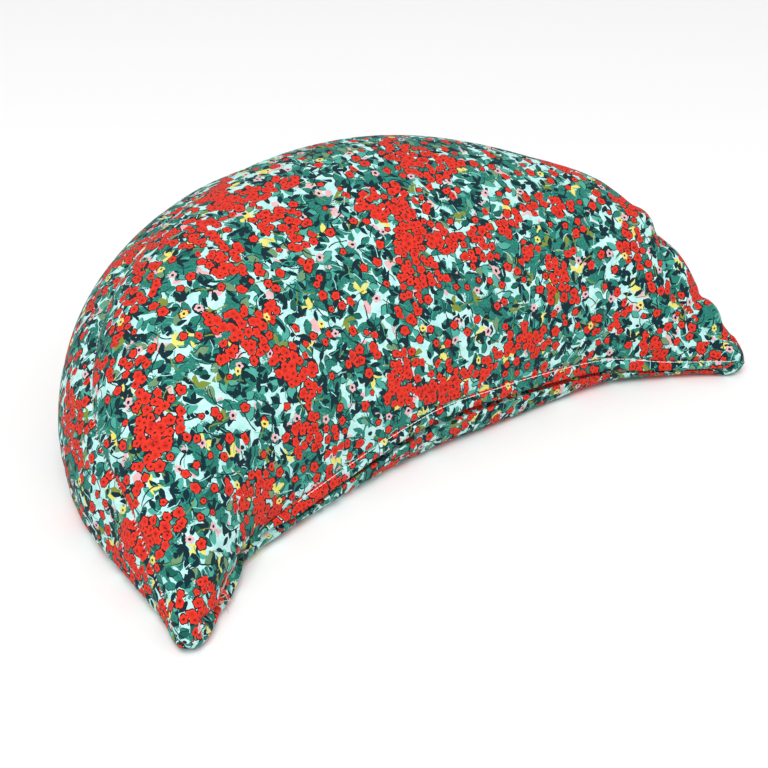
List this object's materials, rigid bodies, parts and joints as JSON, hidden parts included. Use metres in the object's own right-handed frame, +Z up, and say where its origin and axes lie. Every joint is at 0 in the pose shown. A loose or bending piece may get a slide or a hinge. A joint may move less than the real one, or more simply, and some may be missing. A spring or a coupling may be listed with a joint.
{
  "type": "lumbar cushion",
  "caption": "Crescent lumbar cushion with a domed top, a side band that narrows to two rounded horns, and a folded lap over the closure along its hollow front.",
  "frame": {"origin": "middle of the flat underside that the cushion lies on", "axes": "+X along the length from the left horn to the right horn, -Y out of the hollow front, +Z up"},
  "size_m": [0.4426, 0.2806, 0.1481],
  "materials": {
    "cover_cloth": "matt printed cotton",
    "lap_cloth": "matt printed cotton"
  },
  "bodies": {
    "root": {"cushion": "cover_cloth", "zip_lap": "lap_cloth"}
  },
  "joints": []
}
